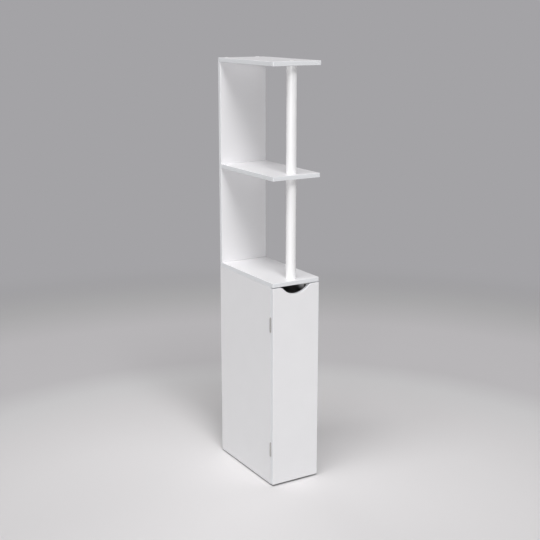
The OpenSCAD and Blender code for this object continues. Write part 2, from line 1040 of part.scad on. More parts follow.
top_board();
back_panel();
middle_shelf();
upper_post();
lower_post();
cabinet_top();
left_side();
right_side();
cabinet_bottom();
cabinet_back();
inner_shelf();
shelf_supports();
door();
upper_hinge_cabinet_leaf();
upper_hinge_door_leaf();
upper_hinge_pin();
lower_hinge_cabinet_leaf();
lower_hinge_door_leaf();
lower_hinge_pin();
hinge_cabinet_screws();
hinge_door_screws();
catch_housing();
catch_magnet();
catch_pole_plates();
catch_screws();
strike_plate();
strike_screws();
floor_glides();
glide_nails();
cam_locks();
cam_bolts();
side_dowels();
panel_dowels();
top_board_screws();
screw_covers();
panel_base_screws();
middle_shelf_screws();
post_stud();
post_base_screw();
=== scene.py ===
import json
import math

import bpy
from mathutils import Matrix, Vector


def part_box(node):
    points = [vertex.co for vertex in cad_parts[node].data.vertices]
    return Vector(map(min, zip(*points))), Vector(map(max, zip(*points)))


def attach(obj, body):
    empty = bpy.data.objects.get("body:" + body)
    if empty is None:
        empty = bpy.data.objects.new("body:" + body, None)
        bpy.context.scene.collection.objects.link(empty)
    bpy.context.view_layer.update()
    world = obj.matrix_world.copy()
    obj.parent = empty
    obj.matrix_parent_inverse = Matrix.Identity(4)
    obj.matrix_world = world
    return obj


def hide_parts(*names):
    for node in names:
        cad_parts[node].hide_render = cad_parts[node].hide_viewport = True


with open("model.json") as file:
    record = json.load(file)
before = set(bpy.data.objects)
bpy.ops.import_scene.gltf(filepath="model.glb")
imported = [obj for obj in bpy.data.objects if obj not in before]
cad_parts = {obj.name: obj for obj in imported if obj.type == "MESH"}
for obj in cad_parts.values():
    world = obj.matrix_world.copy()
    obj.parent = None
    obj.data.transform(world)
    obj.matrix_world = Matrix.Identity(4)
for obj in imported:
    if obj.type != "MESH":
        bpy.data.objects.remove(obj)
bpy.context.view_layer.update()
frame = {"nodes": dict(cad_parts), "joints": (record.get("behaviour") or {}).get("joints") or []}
nodes = frame["nodes"]
mm = 0.001
near = 1e-6  # metres within which two places count as one
hingeX, hingeY = frame["joints"][0]["pos_m"][:2]
print("frame loaded,", len(nodes), "CAD nodes")


# ways of working that every piece shares

def onlySelect(piece):
    bpy.ops.object.select_all(action="DESELECT")
    piece.select_set(True)
    bpy.context.view_layer.objects.active = piece


def settle(piece):  # place, turn and size go into the mesh
    onlySelect(piece)
    bpy.ops.object.transform_apply(location=True, rotation=True, scale=True)


def named(name):
    piece = bpy.context.object
    piece.name = piece.data.name = name
    settle(piece)
    return piece


def block(name, low, high):
    low, high = Vector(low), Vector(high)
    bpy.ops.mesh.primitive_cube_add(size=1, location=(low + high) / 2, scale=high - low)
    return named(name)


def rod(name, start, end, radius, sides=32, endRadius=None):
    start, end = Vector(start), Vector(end)
    bpy.ops.mesh.primitive_cone_add(
        vertices=sides,
        radius1=radius,
        radius2=radius if endRadius is None else endRadius,
        depth=(end - start).length,
        location=(start + end) / 2,
        rotation=(end - start).to_track_quat("Z", "Y").to_euler(),
    )
    return named(name)


def pick(piece, kind, test):  # leaves the piece in edit mode with these parts selected
    onlySelect(piece)
    bpy.ops.object.mode_set(mode="EDIT")
    bpy.ops.mesh.select_mode(type=kind)
    bpy.ops.mesh.select_all(action="DESELECT")
    bpy.ops.object.mode_set(mode="OBJECT")
    mesh = piece.data
    for part in {"VERT": mesh.vertices, "EDGE": mesh.edges, "FACE": mesh.polygons}[kind]:
        part.select = test(part)
    bpy.ops.object.mode_set(mode="EDIT")


def done():
    bpy.ops.object.mode_set(mode="OBJECT")


def ends(piece, edge):
    return [piece.data.vertices[i].co for i in edge.vertices]


def ease(piece, radius, test, steps=4):  # rounds the edges that the test picks
    pick(piece, "EDGE", lambda edge: test(*ends(piece, edge)))
    bpy.ops.mesh.bevel(offset=radius, segments=steps, profile=0.5, affect="EDGES")
    done()


def planesOf(point, low, high):  # the sides of a box that a point lies on
    return {
        (axis, side)
        for axis in range(3)
        for side, place in ((0, low[axis]), (1, high[axis]))
        if abs(point[axis] - place) < near
    }


def applyModifier(piece, kind, **settings):
    modifier = piece.modifiers.new(kind, kind)
    for key, value in settings.items():
        setattr(modifier, key, value)
    onlySelect(piece)
    bpy.ops.object.modifier_apply(modifier=modifier.name)


def carve(piece, cutters, operation="DIFFERENCE"):
    for cutter in cutters:
        applyModifier(piece, "BOOLEAN", operation=operation, solver="EXACT", object=cutter)
        bpy.data.objects.remove(cutter)


def twin(piece, name, shift):  # a copy with its own mesh, moved
    onlySelect(piece)
    bpy.ops.object.duplicate()
    bpy.ops.transform.translate(value=shift)
    return named(name)


merging = {"distance": 0.002, "flat": 0.5}  # mm between points that are one, degrees that count as flat


def mergedCopy(node, name):  # a CAD node's shape as one clean mesh
    piece = bpy.data.objects.new(name, nodes[node].data.copy())
    bpy.context.scene.collection.objects.link(piece)
    onlySelect(piece)
    bpy.ops.mesh.customdata_custom_splitnormals_clear()
    pick(piece, "VERT", lambda vertex: True)
    bpy.ops.mesh.remove_doubles(threshold=merging["distance"] * mm)
    bpy.ops.mesh.dissolve_limited(angle_limit=math.radians(merging["flat"]))
    done()
    return piece


def complete(piece, body, material, slot, *replaced, smooth=32):
    onlySelect(piece)
    bpy.ops.object.shade_smooth_by_angle(angle=math.radians(smooth))
    applyModifier(piece, "WEIGHTED_NORMAL", keep_sharp=True, weight=100)
    piece.data.materials.clear()
    piece.data.materials.append(material)
    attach(piece, body)
    if replaced:
        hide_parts(*replaced)
    return piece


# materials: hex colours are sRGB, pattern sizes are real millimetres

def linear(hexCode):
    channels = [int(hexCode[i:i + 2], 16) / 255 for i in (1, 3, 5)]
    return [*(c / 12.92 if c <= 0.04045 else ((c + 0.055) / 1.055) ** 2.4 for c in channels), 1]


def perMetre(size):
    return 1000 / size


def newMaterial(name):
    material = bpy.data.materials.new(name)
    material.use_nodes = True
    material.node_tree.nodes.clear()
    return material


def addNode(material, kind, settings=None, links=None):
    tree = material.node_tree
    node = tree.nodes.new("ShaderNode" + kind)
    for key, value in (settings or {}).items():
        if isinstance(key, int) or key in node.inputs:
            node.inputs[key].default_value = value
        else:
            setattr(node, key, value)
    for key, source in (links or {}).items():
        tree.links.new(source, node.inputs[key])
    return node


def twoColours(first, second):  # the sockets of a colour Mix
    return {"data_type": "RGBA", 6: linear(first), 7: linear(second)}


def around(middle, swing):  # what a Map Range gives out
    return {"To Min": middle - swing, "To Max": middle + swing}


def output(material, surface):
    addNode(material, "OutputMaterial", {}, {"Surface": surface})
    return material


lacquer = {
    "colour": "#F1F0F2",
    "thin": "#EDECEE",  # where the film lies thinner
    "sawn": "#E8E9EC",  # on the sawn edges, which drink more of it and look cooler
    "patches": 70,  # mm, slow drift of the film's thickness
    "peel": 2.6,  # mm between the bumps of the sprayed film, drawn about twice too coarse to show
    "peelHeight": 0.010,
    "fibre": 0.8,  # mm, fibres that a sawn edge shows through the film
    "fibreHeight": 0.02,
    "roughness": 0.24,
    "swing": 0.03,  # how far the roughness strays from that, either way
    "sawnRoughness": 0.36,
    "core": "#B89B74",  # the bare fibreboard inside a bore
    "ior": 1.5,
}


def makeLacquer():  # sprayed satin lacquer on fibreboard: even white, faint orange peel, duller edges
    m = newMaterial("satin_lacquered_fibreboard")
    at = addNode(m, "TexCoord").outputs["Object"]
    sawn = addNode(m, "Attribute", {"attribute_name": "sawnEdge"}).outputs["Fac"]
    drift = addNode(m, "TexNoise", {"Scale": perMetre(lacquer["patches"]), "Detail": 2}, {"Vector": at})
    film = addNode(m, "Mix", twoColours(lacquer["colour"], lacquer["thin"]), {0: drift.outputs["Fac"]})
    edged = addNode(m, "Mix", {"data_type": "RGBA", 7: linear(lacquer["sawn"])}, {0: sawn, 6: film.outputs[2]})
    bare = addNode(m, "Attribute", {"attribute_name": "bareCore"}).outputs["Fac"]
    colour = addNode(m, "Mix", {"data_type": "RGBA", 7: linear(lacquer["core"])},
                     {0: bare, 6: edged.outputs[2]})
    handled = addNode(m, "MapRange", around(lacquer["roughness"], lacquer["swing"]),
                      {"Value": drift.outputs["Fac"]})
    roughness = addNode(m, "Mix", {3: lacquer["sawnRoughness"]}, {0: sawn, 2: handled.outputs[0]})
    peel = addNode(m, "TexNoise", {"Scale": perMetre(lacquer["peel"]), "Detail": 1}, {"Vector": at})
    peelBump = addNode(m, "Bump", {"Distance": lacquer["peelHeight"] * mm}, {"Height": peel.outputs["Fac"]})
    fibre = addNode(m, "TexNoise", {"Scale": perMetre(lacquer["fibre"]), "Detail": 3}, {"Vector": at})
    fibreBump = addNode(m, "Bump", {"Distance": lacquer["fibreHeight"] * mm},
                        {"Strength": sawn, "Height": fibre.outputs["Fac"], "Normal": peelBump.outputs[0]})
    skin = addNode(m, "BsdfPrincipled", {"IOR": lacquer["ior"]}, {
        "Base Color": colour.outputs[2],
        "Roughness": roughness.outputs[0],
        "Normal": fibreBump.outputs[0],
    })
    return output(m, skin.outputs[0])


postPaint = {
    "colour": "#FAF9FA",
    "shade": "#F7F6F7",
    "patches": 90,  # mm, slow drift between the two colours
    "turning": 1.6,  # mm between the faint rings that the lathe leaves
    "changes": 12,  # per metre, how often a ring changes on its way round
    "ringHeight": 0.0004,
    "roughness": 0.28,
    "swing": 0.01,
    "ior": 1.5,
}


def makePostPaint():  # glossier white on a turned rod: faint rings round it, no grain left to see
    m = newMaterial("white_lacquered_turned_wood")
    at = addNode(m, "TexCoord").outputs["Object"]
    scale = (postPaint["changes"], postPaint["changes"], perMetre(postPaint["turning"]))
    turned = addNode(m, "Mapping", {"Scale": scale}, {"Vector": at})
    rings = addNode(m, "TexNoise", {"Scale": 1, "Detail": 2}, {"Vector": turned.outputs[0]})
    drift = addNode(m, "TexNoise", {"Scale": perMetre(postPaint["patches"]), "Detail": 1}, {"Vector": at})
    colour = addNode(m, "Mix", twoColours(postPaint["colour"], postPaint["shade"]), {0: drift.outputs["Fac"]})
    roughness = addNode(m, "MapRange", around(postPaint["roughness"], postPaint["swing"]),
                        {"Value": rings.outputs["Fac"]})
    bump = addNode(m, "Bump", {"Distance": postPaint["ringHeight"] * mm}, {"Height": rings.outputs["Fac"]})
    skin = addNode(m, "BsdfPrincipled", {"IOR": postPaint["ior"]}, {
        "Base Color": colour.outputs[2],
        "Roughness": roughness.outputs[0],
        "Normal": bump.outputs[0],
    })
    return output(m, skin.outputs[0])


hardboard = {
    "face": "#E6E6E4",
    "rear": "#DDDDDA",
    "screen": 1.7,  # mm between the wires of the screen that it was pressed on
    "screenDepth": 0.05,
    "roughness": 0.5,
    "ior": 1.48,
}


def makeHardboard():  # thin white board, smooth in front, pressed on a wire screen behind
    m = newMaterial("white_faced_hardboard")
    at = addNode(m, "TexCoord").outputs["Object"]
    facing = addNode(m, "SeparateXYZ", {}, {"Vector": addNode(m, "NewGeometry").outputs["True Normal"]})
    rear = addNode(m, "Math", {"operation": "GREATER_THAN", 1: 0.5}, {0: facing.outputs["Y"]})
    colour = addNode(m, "Mix", twoColours(hardboard["face"], hardboard["rear"]), {0: rear.outputs[0]})
    turn = 2 * math.pi * perMetre(hardboard["screen"])
    scaled = addNode(m, "VectorMath", {"operation": "SCALE", "Scale": turn}, {0: at})
    across = addNode(m, "SeparateXYZ", {}, {"Vector": scaled.outputs[0]})
    waves = [addNode(m, "Math", {"operation": "SINE"}, {0: across.outputs[axis]}).outputs[0] for axis in "XZ"]
    mesh = addNode(m, "Math", {"operation": "MAXIMUM"}, {0: waves[0], 1: waves[1]})
    bump = addNode(m, "Bump", {"Distance": hardboard["screenDepth"] * mm},
                   {"Strength": rear.outputs[0], "Height": mesh.outputs[0]})
    skin = addNode(m, "BsdfPrincipled", {"IOR": hardboard["ior"], "Roughness": hardboard["roughness"]},
                   {"Base Color": colour.outputs[2], "Normal": bump.outputs[0]})
    return output(m, skin.outputs[0])


metalCloud = {"size": 5, "swing": 0.08}  # mm across a cloud of the plating, spread of the roughness
metals = {  # base colour, darker patches, roughness, size of the grain in mm along X, Y and Z, its height
    "nickel_plated_steel": ("#C8C7C4", "#B3B2AF", 0.34, (0.5, 0.5, 6), 0.004),
    "zinc_plated_steel": ("#BFC2C6", "#A7ABB1", 0.38, (1.2, 1.2, 1.2), 0.004),
    "die_cast_zinc": ("#B4B6B8", "#9B9DA1", 0.52, (0.9, 0.9, 0.9), 0.02),
}


def makeMetal(name):  # nickel: drawn and warm grey; zinc plate: cool and cloudy; casting: grainy
    base, dark, rough, grain, height = metals[name]
    m = newMaterial(name)
    at = addNode(m, "TexCoord").outputs["Object"]
    stretched = addNode(m, "Mapping", {"Scale": [perMetre(g) for g in grain]}, {"Vector": at})
    fine = addNode(m, "TexNoise", {"Scale": 1, "Detail": 3}, {"Vector": stretched.outputs[0]})
    cloud = addNode(m, "TexNoise", {"Scale": perMetre(metalCloud["size"]), "Detail": 2}, {"Vector": at})
    colour = addNode(m, "Mix", twoColours(base, dark), {0: cloud.outputs["Fac"]})
    roughness = addNode(m, "MapRange", around(rough, metalCloud["swing"]), {"Value": fine.outputs["Fac"]})
    bump = addNode(m, "Bump", {"Distance": height * mm}, {"Height": fine.outputs["Fac"]})
    skin = addNode(m, "BsdfPrincipled", {"Metallic": 1}, {
        "Base Color": colour.outputs[2],
        "Roughness": roughness.outputs[0],
        "Normal": bump.outputs[0],
    })
    return output(m, skin.outputs[0])


plains = {  # base colour, second colour, roughness, IOR, grain in mm, its height
    "moulded_white_polypropylene": ("#E2E2E0", "#DCDCD9", 0.46, 1.49, 0.7, 0.012),
    "white_vinyl_film": ("#ECECED", "#E8E8E9", 0.5, 1.53, 0.5, 0.006),
    "sintered_ferrite": ("#2B2B2E", "#3A3A3C", 0.72, 1.9, 0.4, 0.03),
}


def makePlain(name):  # moulded, calendered or sintered: one colour with a fine all-over grain
    base, second, rough, ior, grain, height = plains[name]
    m = newMaterial(name)
    at = addNode(m, "TexCoord").outputs["Object"]
    fine = addNode(m, "TexNoise", {"Scale": perMetre(grain), "Detail": 2}, {"Vector": at})
    colour = addNode(m, "Mix", twoColours(base, second), {0: fine.outputs["Fac"]})
    bump = addNode(m, "Bump", {"Distance": height * mm}, {"Height": fine.outputs["Fac"]})
    skin = addNode(m, "BsdfPrincipled", {"IOR": ior, "Roughness": rough},
                   {"Base Color": colour.outputs[2], "Normal": bump.outputs[0]})
    return output(m, skin.outputs[0])


beech = {
    "colour": "#D2B48C",
    "fleck": "#B08A5E",
    "fleckStart": 0.5,  # shares of the grain's height over which a fleck sets in
    "fleckFull": 0.7,
    "grain": 1.1,  # mm across the fibres
    "along": 14,  # mm along them
    "relief": 0.03,
    "roughness": 0.6,
    "ior": 1.5,
}


def makeBeech():  # pale straight-grained dowel wood with short darker flecks
    m = newMaterial("plain_beech")
    at = addNode(m, "TexCoord").outputs["Object"]
    stretched = addNode(m, "Mapping", {"Scale": [perMetre(beech[k]) for k in ("grain", "grain", "along")]},
                        {"Vector": at})
    grain = addNode(m, "TexNoise", {"Scale": 1, "Detail": 4}, {"Vector": stretched.outputs[0]})
    flecks = addNode(m, "MapRange", {"From Min": beech["fleckStart"], "From Max": beech["fleckFull"]},
                     {"Value": grain.outputs["Fac"]})
    colour = addNode(m, "Mix", twoColours(beech["colour"], beech["fleck"]), {0: flecks.outputs[0]})
    bump = addNode(m, "Bump", {"Distance": beech["relief"] * mm}, {"Height": grain.outputs["Fac"]})
    skin = addNode(m, "BsdfPrincipled", {"IOR": beech["ior"], "Roughness": beech["roughness"]},
                   {"Base Color": colour.outputs[2], "Normal": bump.outputs[0]})
    return output(m, skin.outputs[0])


lacquered = makeLacquer()
postFinish = makePostPaint()
thinBoard = makeHardboard()
nickel, zincPlate, zincCasting = [makeMetal(name) for name in metals]
plastic, film, ferrite = [makePlain(name) for name in plains]
beechWood = makeBeech()
print("materials made")


# boards: eased blocks with the joinery that shows cut into them

fittings = {  # millimetres
    "pegRadius": 2.55,
    "pegDepth": 8.5,
    "pegRows": (250, 282, 314),
    "pegY": (-87.5, 102.2),
    "camRadius": 6.05,
    "camDepth": 9.5,
    "camY": (-97.5, 110),
    "sideCamZ": 562,
    "baseCamX": 39,
    "headRadius": 3.85,
    "headDepth": 1.8,
    "shankRadius": 2.05,
    "sideFace": 63,  # the sides' inner faces, either way from the middle
    "baseUnder": 4,
    "grooveY": (132.8, 136.2),
    "grooveStart": 3,  # how far inside the cupboard the cutter of a side's groove starts
    "grooveDepth": 5.2,
    "grooveTop": 600,  # above the sides' upper ends
    "baseGroove": ((-80, 10.8), (80, 20)),  # X and Z, from past one end of the bottom to past the other
    "housingRadius": 2.9,
    "housingReach": 11.2,
    "housingDepth": 1.15,
    "housingSpare": 1.1,  # beyond each end of a leaf
    "housingStart": 1,  # outside the hinge's axis
    "start": 0.1,  # how far outside a face its bores start
    "seatStart": 0.02,
}
screwSeats = {  # millimetres: where each countersink opens
    "panelRear": [(x, 150, 884) for x in (-50, 50)],
    "topUnder": [(-50, 144, 586), (50, 144, 586), (0, -121, 586)],
}


def seats(places, direction):  # what the countersunk heads take away, started just outside the face
    direction = Vector(direction)
    start, depth = fittings["seatStart"] * mm, fittings["headDepth"] * mm
    return [
        rod("seat", Vector(place) * mm - direction * start, Vector(place) * mm + direction * depth,
            fittings["headRadius"] * mm, endRadius=fittings["shankRadius"] * mm)
        for place in places
    ]


def sideBores(side):  # peg holes and cam bores, from a side's inner face
    depths = (-fittings["start"], fittings["pegDepth"], fittings["camDepth"])
    start, peg, cam = [side * (fittings["sideFace"] + depth) * mm for depth in depths]
    pegHoles = [
        rod("pegHole", (start, y * mm, z * mm), (peg, y * mm, z * mm), fittings["pegRadius"] * mm, sides=24)
        for y in fittings["pegY"]
        for z in fittings["pegRows"]
    ]
    z = fittings["sideCamZ"] * mm
    camHoles = [
        rod("camBore", (start, y * mm, z), (cam, y * mm, z), fittings["camRadius"] * mm, sides=40)
        for y in fittings["camY"]
    ]
    return pegHoles + camHoles


def baseBores():  # the cams' bores under the cupboard's bottom
    bottom, top = [(fittings["baseUnder"] + depth) * mm for depth in (-fittings["start"], fittings["camDepth"])]
    return [
        rod("camBore", (x * mm, y * mm, bottom), (x * mm, y * mm, top), fittings["camRadius"] * mm, sides=40)
        for x in (-fittings["baseCamX"], fittings["baseCamX"])
        for y in fittings["camY"]
    ]


def backGroove(low, high):  # where the thin back slides in, between two places in X and Z
    y0, y1 = fittings["grooveY"]
    return block("groove", (low[0] * mm, y0 * mm, low[1] * mm), (high[0] * mm, y1 * mm, high[1] * mm))


def sideGroove(side):
    face = fittings["sideFace"]
    x0, x1 = sorted((side * (face - fittings["grooveStart"]), side * (face + fittings["grooveDepth"])))
    return backGroove((x0, 0), (x1, fittings["grooveTop"]))


def hingeHousings():  # room for both hinges' barrels and leaves
    cutters = []
    deep = fittings["housingDepth"] * mm
    for which in ("upper", "lower"):
        low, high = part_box(which + "_hinge_cabinet_leaf")
        bottom, top = low.z - fittings["housingSpare"] * mm, high.z + fittings["housingSpare"] * mm
        cutters.append(rod("barrelRoom", (hingeX, hingeY, bottom), (hingeX, hingeY, top),
                           fittings["housingRadius"] * mm, sides=48))
        cutters.append(block("leafRoom", (hingeX - fittings["housingStart"] * mm, hingeY - deep, bottom),
                             (hingeX + fittings["housingReach"] * mm, hingeY + deep, top)))
    return cutters


def markFaces(piece, low, high, thickness, radius, lacqueredInside=lambda centre: False):
    # sawnEdge: 1 on the edges of the board; bareCore: 1 where a bore shows the fibreboard itself
    mesh = piece.data
    sawn = mesh.attributes.new("sawnEdge", "FLOAT", "FACE")
    bare = mesh.attributes.new("bareCore", "FLOAT", "FACE")
    for face in mesh.polygons:
        centre = face.center
        gaps = [min(centre[i] - low[i], high[i] - centre[i]) for i in range(3)]
        outside = min(gaps) < near or sum(gap < radius for gap in gaps) > 1
        bare.data[face.index].value = 0 if outside or lacqueredInside(centre) else 1
        sawn.data[face.index].value = 1 - abs(face.normal[thickness]) ** 2


boards = {  # the CAD node, the axis through the board's thickness, its eased edges and upright corners in mm
    "top_shelf": ("top_board", 2, 0.9, 2.2),
    "rear_panel": ("back_panel", 1, 0.8, 0.8),
    "mid_shelf": ("middle_shelf", 2, 0.9, 2.2),
    "cupboard_top": ("cabinet_top", 2, 0.9, 2.2),
    "cupboard_left": ("left_side", 0, 0.6, 0.6),
    "cupboard_right": ("right_side", 0, 0.6, 0.6),
    "cupboard_base": ("cabinet_bottom", 2, 0.4, 0.4),
    "cupboard_shelf": ("inner_shelf", 2, 0.6, 0.6),
}
cuts = {  # what is cut from a board
    "rear_panel": lambda: seats(screwSeats["panelRear"], (0, -1, 0)),
    "cupboard_top": lambda: seats(screwSeats["topUnder"], (0, 0, 1)),
    "cupboard_left": lambda: sideBores(-1) + hingeHousings() + [sideGroove(-1)],
    "cupboard_right": lambda: sideBores(1) + [sideGroove(1)],
    "cupboard_base": lambda: baseBores() + [backGroove(*fittings["baseGroove"])],
}


def level(a, b, axis, place):  # both ends of an edge lie at this place along the axis
    return abs(a[axis] - place) < near and abs(b[axis] - place) < near


def roundCorners(piece, low, high, thickness, radius, corner):
    if corner == radius:
        ease(piece, radius * mm, lambda a, b: True)
        return
    # the four corners that run through the thickness first, then the arrises of both faces
    ease(piece, corner * mm, lambda a, b: abs(a[thickness] - b[thickness]) > 1 * mm)
    ease(piece, radius * mm, lambda a, b: any(level(a, b, thickness, side[thickness]) for side in (low, high)))


for name, (node, thickness, radius, corner) in boards.items():
    low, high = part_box(node)
    piece = block(name, low, high)
    roundCorners(piece, low, high, thickness, radius, corner)
    if name in cuts:
        carve(piece, cuts[name]())
    markFaces(piece, low, high, thickness, max(radius, corner) * mm)
    complete(piece, "cabinet", lacquered, "white_lacquer", node)
print("boards made")


# the door: its outline with the finger cut-out is drawn as one line, filled and given its thickness

grip = {  # millimetres
    "radius": 55,
    "depth": 23.5,
    "corner": 14,
    "arcSteps": 40,
    "cornerSteps": 12,
    "eased": 1.0,
    "spare": 1,  # beside the cut-out, and twice that below it, where its edge counts as lacquered
}


def step(x, z):  # in edit mode: draws on from the last point
    bpy.ops.mesh.extrude_vertices_move(TRANSFORM_OT_translate={"value": (x, 0, z)})


def arc(x, y, z, angle, steps):
    bpy.ops.mesh.spin(steps=steps, angle=angle, center=(x, y, z), axis=(0, 1, 0))


def makeDoor():
    low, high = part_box("door")
    radius, corner = grip["radius"] * mm, grip["corner"] * mm
    arcZ = high.z + radius - grip["depth"] * mm
    cornerZ = high.z - corner
    cornerX = math.sqrt((radius + corner) ** 2 - (arcZ - cornerZ) ** 2)
    turn = math.atan2(cornerX, arcZ - cornerZ)
    bpy.ops.object.select_all(action="DESELECT")
    bpy.ops.mesh.primitive_plane_add(size=1 * mm, location=low)
    door = named("door_front")
    pick(door, "VERT", lambda vertex: True)
    bpy.ops.mesh.merge(type="CENTER")
    step(0, high.z - low.z)
    step(-cornerX - low.x, 0)
    arc(-cornerX, low.y, cornerZ, -turn, grip["cornerSteps"])
    arc(0, low.y, arcZ, 2 * turn, grip["arcSteps"])
    arc(cornerX, low.y, cornerZ, -turn, grip["cornerSteps"])
    step(high.x - cornerX, 0)
    step(0, low.z - high.z)
    step(low.x - high.x, 0)
    bpy.ops.mesh.select_all(action="SELECT")
    bpy.ops.mesh.remove_doubles(threshold=near)
    bpy.ops.mesh.edge_face_add()
    bpy.ops.mesh.extrude_region_move(TRANSFORM_OT_translate={"value": (0, high.y - low.y, 0)})
    bpy.ops.mesh.select_all(action="SELECT")
    bpy.ops.mesh.normals_make_consistent(inside=False)
    done()
    ease(door, grip["eased"] * mm, lambda a, b: abs(a.y - b.y) < near or (
        len(planesOf(a, low, high) & planesOf(b, low, high)) == 2))
    carve(door, hingeHousings())
    besideX = cornerX + grip["spare"] * mm
    belowZ = high.z - (grip["depth"] + 2 * grip["spare"]) * mm
    markFaces(door, low, high, 1, grip["eased"] * mm,
              lambda centre: abs(centre.x) < besideX and centre.z > belowZ)
    return complete(door, "door", lacquered, "white_lacquer", "door")


makeDoor()
print("door made")


# the two turned posts

post = {"sides": 96, "eased": 0.7}

for name, node in (("post_above", "upper_post"), ("post_below", "lower_post")):
    low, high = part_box(node)
    x, y = (low.x + high.x) / 2, (low.y + high.y) / 2
    piece = rod(name, (x, y, low.z), (x, y, high.z), (high.x - low.x) / 2, post["sides"])
    ease(piece, post["eased"] * mm, lambda a, b: abs(a.z - b.z) < near)
    complete(piece, "cabinet", postFinish, "white_post", node)
print("posts made")


# hinges: leaves with rolled knuckles, countersunk, on a riveted pin

hinge = {  # millimetres, from the hinge's axis and mid height
    "half": 20,
    "knuckleRadius": 2.5,
    "knuckle": 8,
    "knuckleGap": 0.1,
    "plateStart": 2.7,
    "plateEnd": 11,
    "plateNear": 0.15,
    "plateFar": 1.15,
    "corner": 1.6,
    "rim": 0.28,
    "boreRadius": 1.55,
    "screwZ": 12,
    "seatRadius": 2.15,
    "holeRadius": 1.25,
    "holeStart": 0.3,  # before the plate's inner face
    "holeEnd": 2,  # past it
    "seatDepth": 0.9,
    "pinRadius": 1.5,
    "headRadius": 2.2,
    "headHeight": 0.7,
    "headEased": 0.45,
    "sunk": 0.07,  # of the pin's ends into its heads, which joins them
    "overlap": 0.2,  # of a knuckle's tab with its plate
    "beyond": 1,  # how far the pin's bore is cut past both ends
}


def hingeLeaf(name, side, first):  # side is the way of Y on which its plate lies
    low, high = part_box("lower_hinge_cabinet_leaf")
    middle = Vector((hingeX, hingeY, (low.z + high.z) / 2))
    h = {key: value * mm for key, value in hinge.items()}
    inner, outer = sorted((side * h["plateNear"], side * h["plateFar"]))
    plate = block(name, middle + Vector((h["plateStart"], inner, -h["half"])),
                  middle + Vector((h["plateEnd"], outer, h["half"])))
    ease(plate, h["corner"],
         lambda a, b: level(a, b, 0, hingeX + h["plateEnd"]) and abs(a.z - b.z) < near, steps=6)
    for k in range(first, 5, 2):
        bottom = -h["half"] + k * h["knuckle"] + h["knuckleGap"]
        top = bottom + h["knuckle"] - 2 * h["knuckleGap"]
        tab = block("tab", middle + Vector((0, inner, bottom)),
                    middle + Vector((h["plateStart"] + h["overlap"], outer, top)))
        carve(plate, [tab], "UNION")
        barrel = rod("barrel", middle + Vector((0, 0, bottom)), middle + Vector((0, 0, top)),
                     h["knuckleRadius"], sides=48)
        ease(barrel, h["rim"], lambda a, b: abs(a.z - b.z) < near, steps=3)
        carve(plate, [barrel], "UNION")
    reach = Vector((0, 0, h["half"] + h["beyond"]))
    cutters = [rod("bore", middle - reach, middle + reach, h["boreRadius"])]
    screwsLow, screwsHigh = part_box("hinge_cabinet_screws")
    x = (screwsLow.x + screwsHigh.x) / 2 - hingeX
    inward = Vector((0, side, 0))
    for z in (-h["screwZ"], h["screwZ"]):
        at = middle + Vector((x, side * h["plateNear"], z))
        cutters.append(rod("hole", at - inward * h["holeStart"], at + inward * h["holeEnd"],
                           h["holeRadius"], sides=24))
        cutters.append(rod("seat", at - inward * fittings["seatStart"] * mm, at + inward * h["seatDepth"],
                           h["seatRadius"], endRadius=h["holeRadius"]))
    carve(plate, cutters)
    return plate


def hingePin(name):
    low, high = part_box("lower_hinge_pin")
    x, y = (low.x + high.x) / 2, (low.y + high.y) / 2
    rim, sunk = hinge["headHeight"] * mm, hinge["sunk"] * mm
    pin = rod(name, (x, y, low.z + rim - sunk), (x, y, high.z - rim + sunk), hinge["pinRadius"] * mm)
    for outer, inner in ((low.z, low.z + rim), (high.z, high.z - rim)):
        head = rod("head", (x, y, inner), (x, y, outer), hinge["headRadius"] * mm)
        ease(head, hinge["headEased"] * mm, lambda a, b: level(a, b, 2, outer))
        carve(pin, [head], "UNION")
    return pin


def twinOf(piece, name, lower, upper):
    return twin(piece, name, (0, 0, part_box(upper)[0].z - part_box(lower)[0].z))


for role, body, make in (
    ("cabinet_leaf", "cabinet", lambda name: hingeLeaf(name, 1, 0)),
    ("door_leaf", "door", lambda name: hingeLeaf(name, -1, 1)),
    ("pin", "cabinet", hingePin),
):
    lower, upper = "lower_hinge_" + role, "upper_hinge_" + role
    piece = make("hinge_low_" + role)
    second = twinOf(piece, "hinge_high_" + role, lower, upper)
    complete(piece, body, nickel, "hinge_nickel", lower, smooth=40)
    complete(second, body, nickel, "hinge_nickel", upper, smooth=40)
print("hinges made")


# small round things: floor glides under the cupboard and flush covers over the screws

glide = {"radius": 9, "sides": 64, "eased": 0.8, "seatRadius": 2.35, "seatDepth": 1.5}  # millimetres
cover = {"radius": 5.5, "sides": 64, "eased": 0.15}


def joined(name, pieces):
    onlySelect(pieces[0])
    for piece in pieces[1:]:
        piece.select_set(True)
    bpy.ops.object.join()
    return named(name)


def makeGlides():
    low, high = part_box("floor_glides")
    radius = glide["radius"] * mm
    x0, y0 = low.x + radius, low.y + radius
    first = rod("glide", (x0, y0, high.z), (x0, y0, low.z), radius, glide["sides"])
    ease(first, glide["eased"] * mm, lambda a, b: level(a, b, 2, low.z))
    pick(first, "FACE", lambda face: face.normal.z < -0.99)  # its underside
    bpy.ops.mesh.inset(thickness=radius - glide["eased"] * mm - glide["seatRadius"] * mm)
    bpy.ops.mesh.extrude_region_move(TRANSFORM_OT_translate={"value": (0, 0, glide["seatDepth"] * mm)})
    done()
    x1, y1 = high.x - radius - x0, high.y - radius - y0
    rest = [twin(first, "glide", shift) for shift in ((x1, 0, 0), (0, y1, 0), (x1, y1, 0))]
    return joined("glides", [first] + rest)


